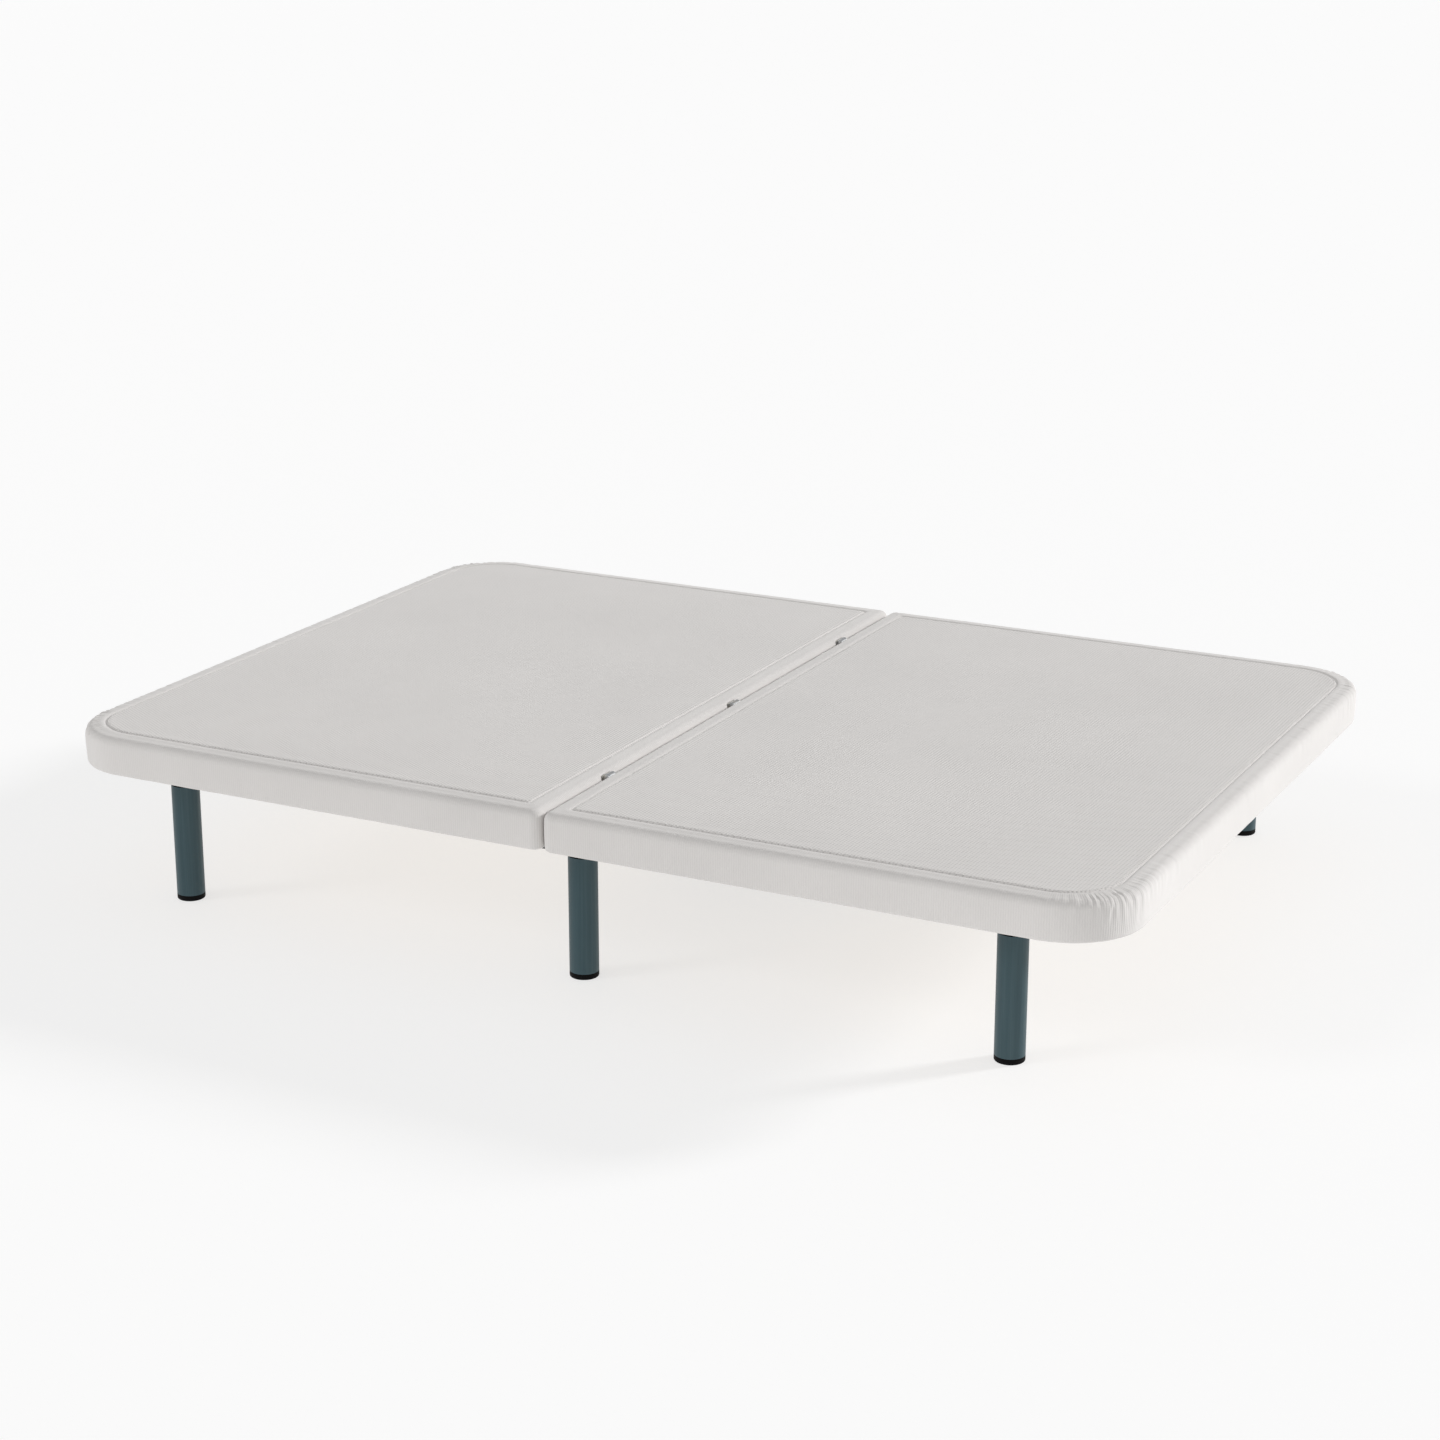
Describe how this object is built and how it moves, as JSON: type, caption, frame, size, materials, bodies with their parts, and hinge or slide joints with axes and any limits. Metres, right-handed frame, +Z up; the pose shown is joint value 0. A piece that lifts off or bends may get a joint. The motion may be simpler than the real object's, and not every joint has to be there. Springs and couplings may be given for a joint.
{
  "type": "adjustable bed base",
  "caption": "Upholstered bed base on round metal legs; the head half tilts up, driven by a motorised torque tube under the deck.",
  "frame": {"origin": "on the floor, under the middle of the deck at rest", "axes": "+Z up, +Y towards the head end, +X to the right when lying on the back"},
  "size_m": [1.35, 1.9, 0.305],
  "materials": {
    "fabric": "off-white knitted upholstery fabric, matt",
    "foam": "open-cell foam sheet",
    "board": "birch plywood, unfinished",
    "softwood": "planed pine",
    "leg_paint": "dark blue-grey satin paint, faint brushed grain",
    "frame_paint": "graphite powder coat",
    "zinc": "zinc-plated steel",
    "spindle_steel": "ground steel",
    "motor_steel": "drawn steel can",
    "black_plastic": "black moulded plastic, fine texture",
    "white_plastic": "natural acetal",
    "rubber_pad": "black rubber",
    "board_green": "green circuit board"
  },
  "bodies": {
    "base": {"foot_cover": "fabric", "foot_foam": "foam", "foot_board": "board", "foot_rail_hinge_side": "softwood", "foot_rail_end": "softwood", "foot_rail_left": "softwood", "foot_rail_right": "softwood", "foot_corner_blocks": "softwood", "foot_bearers": "softwood", "hinge_clevises": "zinc", "hinge_pins": "zinc", "side_tube_left": "frame_paint", "side_tube_right": "frame_paint", "cross_tube_head": "frame_paint", "cross_tube_mid": "frame_paint", "cross_tube_drive": "frame_paint", "cross_tube_foot": "frame_paint", "tube_end_caps": "black_plastic", "leg_head_left": "leg_paint", "leg_head_right": "leg_paint", "leg_middle_left": "leg_paint", "leg_middle_right": "leg_paint", "leg_foot_left": "leg_paint", "leg_foot_right": "leg_paint", "leg_glides": "black_plastic", "leg_studs": "black_plastic", "leg_inserts": "zinc", "deck_spacers": "rubber_pad", "rest_pads": "rubber_pad", "frame_bolts": "zinc", "torque_brackets": "frame_paint", "torque_bushes": "white_plastic", "drive_housing": "black_plastic", "drive_cover": "black_plastic", "drive_motor": "motor_steel", "drive_gearbox": "motor_steel", "spindle_bearings": "white_plastic", "control_board": "board_green", "power_socket": "black_plastic", "drive_hanger_pads": "rubber_pad"},
    "head_section": {"head_cover": "fabric", "head_foam": "foam", "head_board": "board", "head_rail_hinge_side": "softwood", "head_rail_end": "softwood", "head_rail_left": "softwood", "head_rail_right": "softwood", "head_corner_blocks": "softwood", "head_bearers": "softwood", "hinge_tongues": "zinc", "lift_tracks": "white_plastic"},
    "torque_shaft": {"torque_tube": "frame_paint", "lift_arms": "frame_paint", "roller_pins": "zinc", "drive_lever": "frame_paint"},
    "left_roller": {"roller_left": "white_plastic"},
    "right_roller": {"roller_right": "white_plastic"},
    "slider": {"drive_slider": "white_plastic"},
    "spindle": {"drive_spindle": "spindle_steel"}
  },
  "joints": [
    {"name": "head_lift", "type": "hinge", "parent": "base", "child": "head_section", "pos_m": [0, 0, 0.296], "axis": [1, 0, 0], "range_deg": [0, 60]},
    {"name": "torque_turn", "type": "hinge", "parent": "base", "child": "torque_shaft", "pos_m": [0, 0.07, 0.253], "axis": [1, 0, 0], "range_deg": [0, 65.92]},
    {"name": "left_roller_spin", "type": "hinge", "parent": "torque_shaft", "child": "left_roller", "pos_m": [-0.3145, 0.45, 0.253], "axis": [1, 0, 0], "continuous": true},
    {"name": "right_roller_spin", "type": "hinge", "parent": "torque_shaft", "child": "right_roller", "pos_m": [0.3145, 0.45, 0.253], "axis": [1, 0, 0], "continuous": true},
    {"name": "drive_travel", "type": "slide", "parent": "base", "child": "slider", "axis": [0, 1, 0], "range_m": [0, 0.0816]},
    {"name": "spindle_turn", "type": "hinge", "parent": "base", "child": "spindle", "pos_m": [0, 0, 0.156], "axis": [0, 1, 0], "range_deg": [0, 3671.9]}
  ],
  "couplings": [
    {"joint": "torque_turn", "follows": "head_lift", "ratio": 1.0985},
    {"joint": "drive_travel", "follows": "head_lift", "m_per_rad": 0.077919},
    {"joint": "spindle_turn", "follows": "head_lift", "ratio": 61.197}
  ]
}
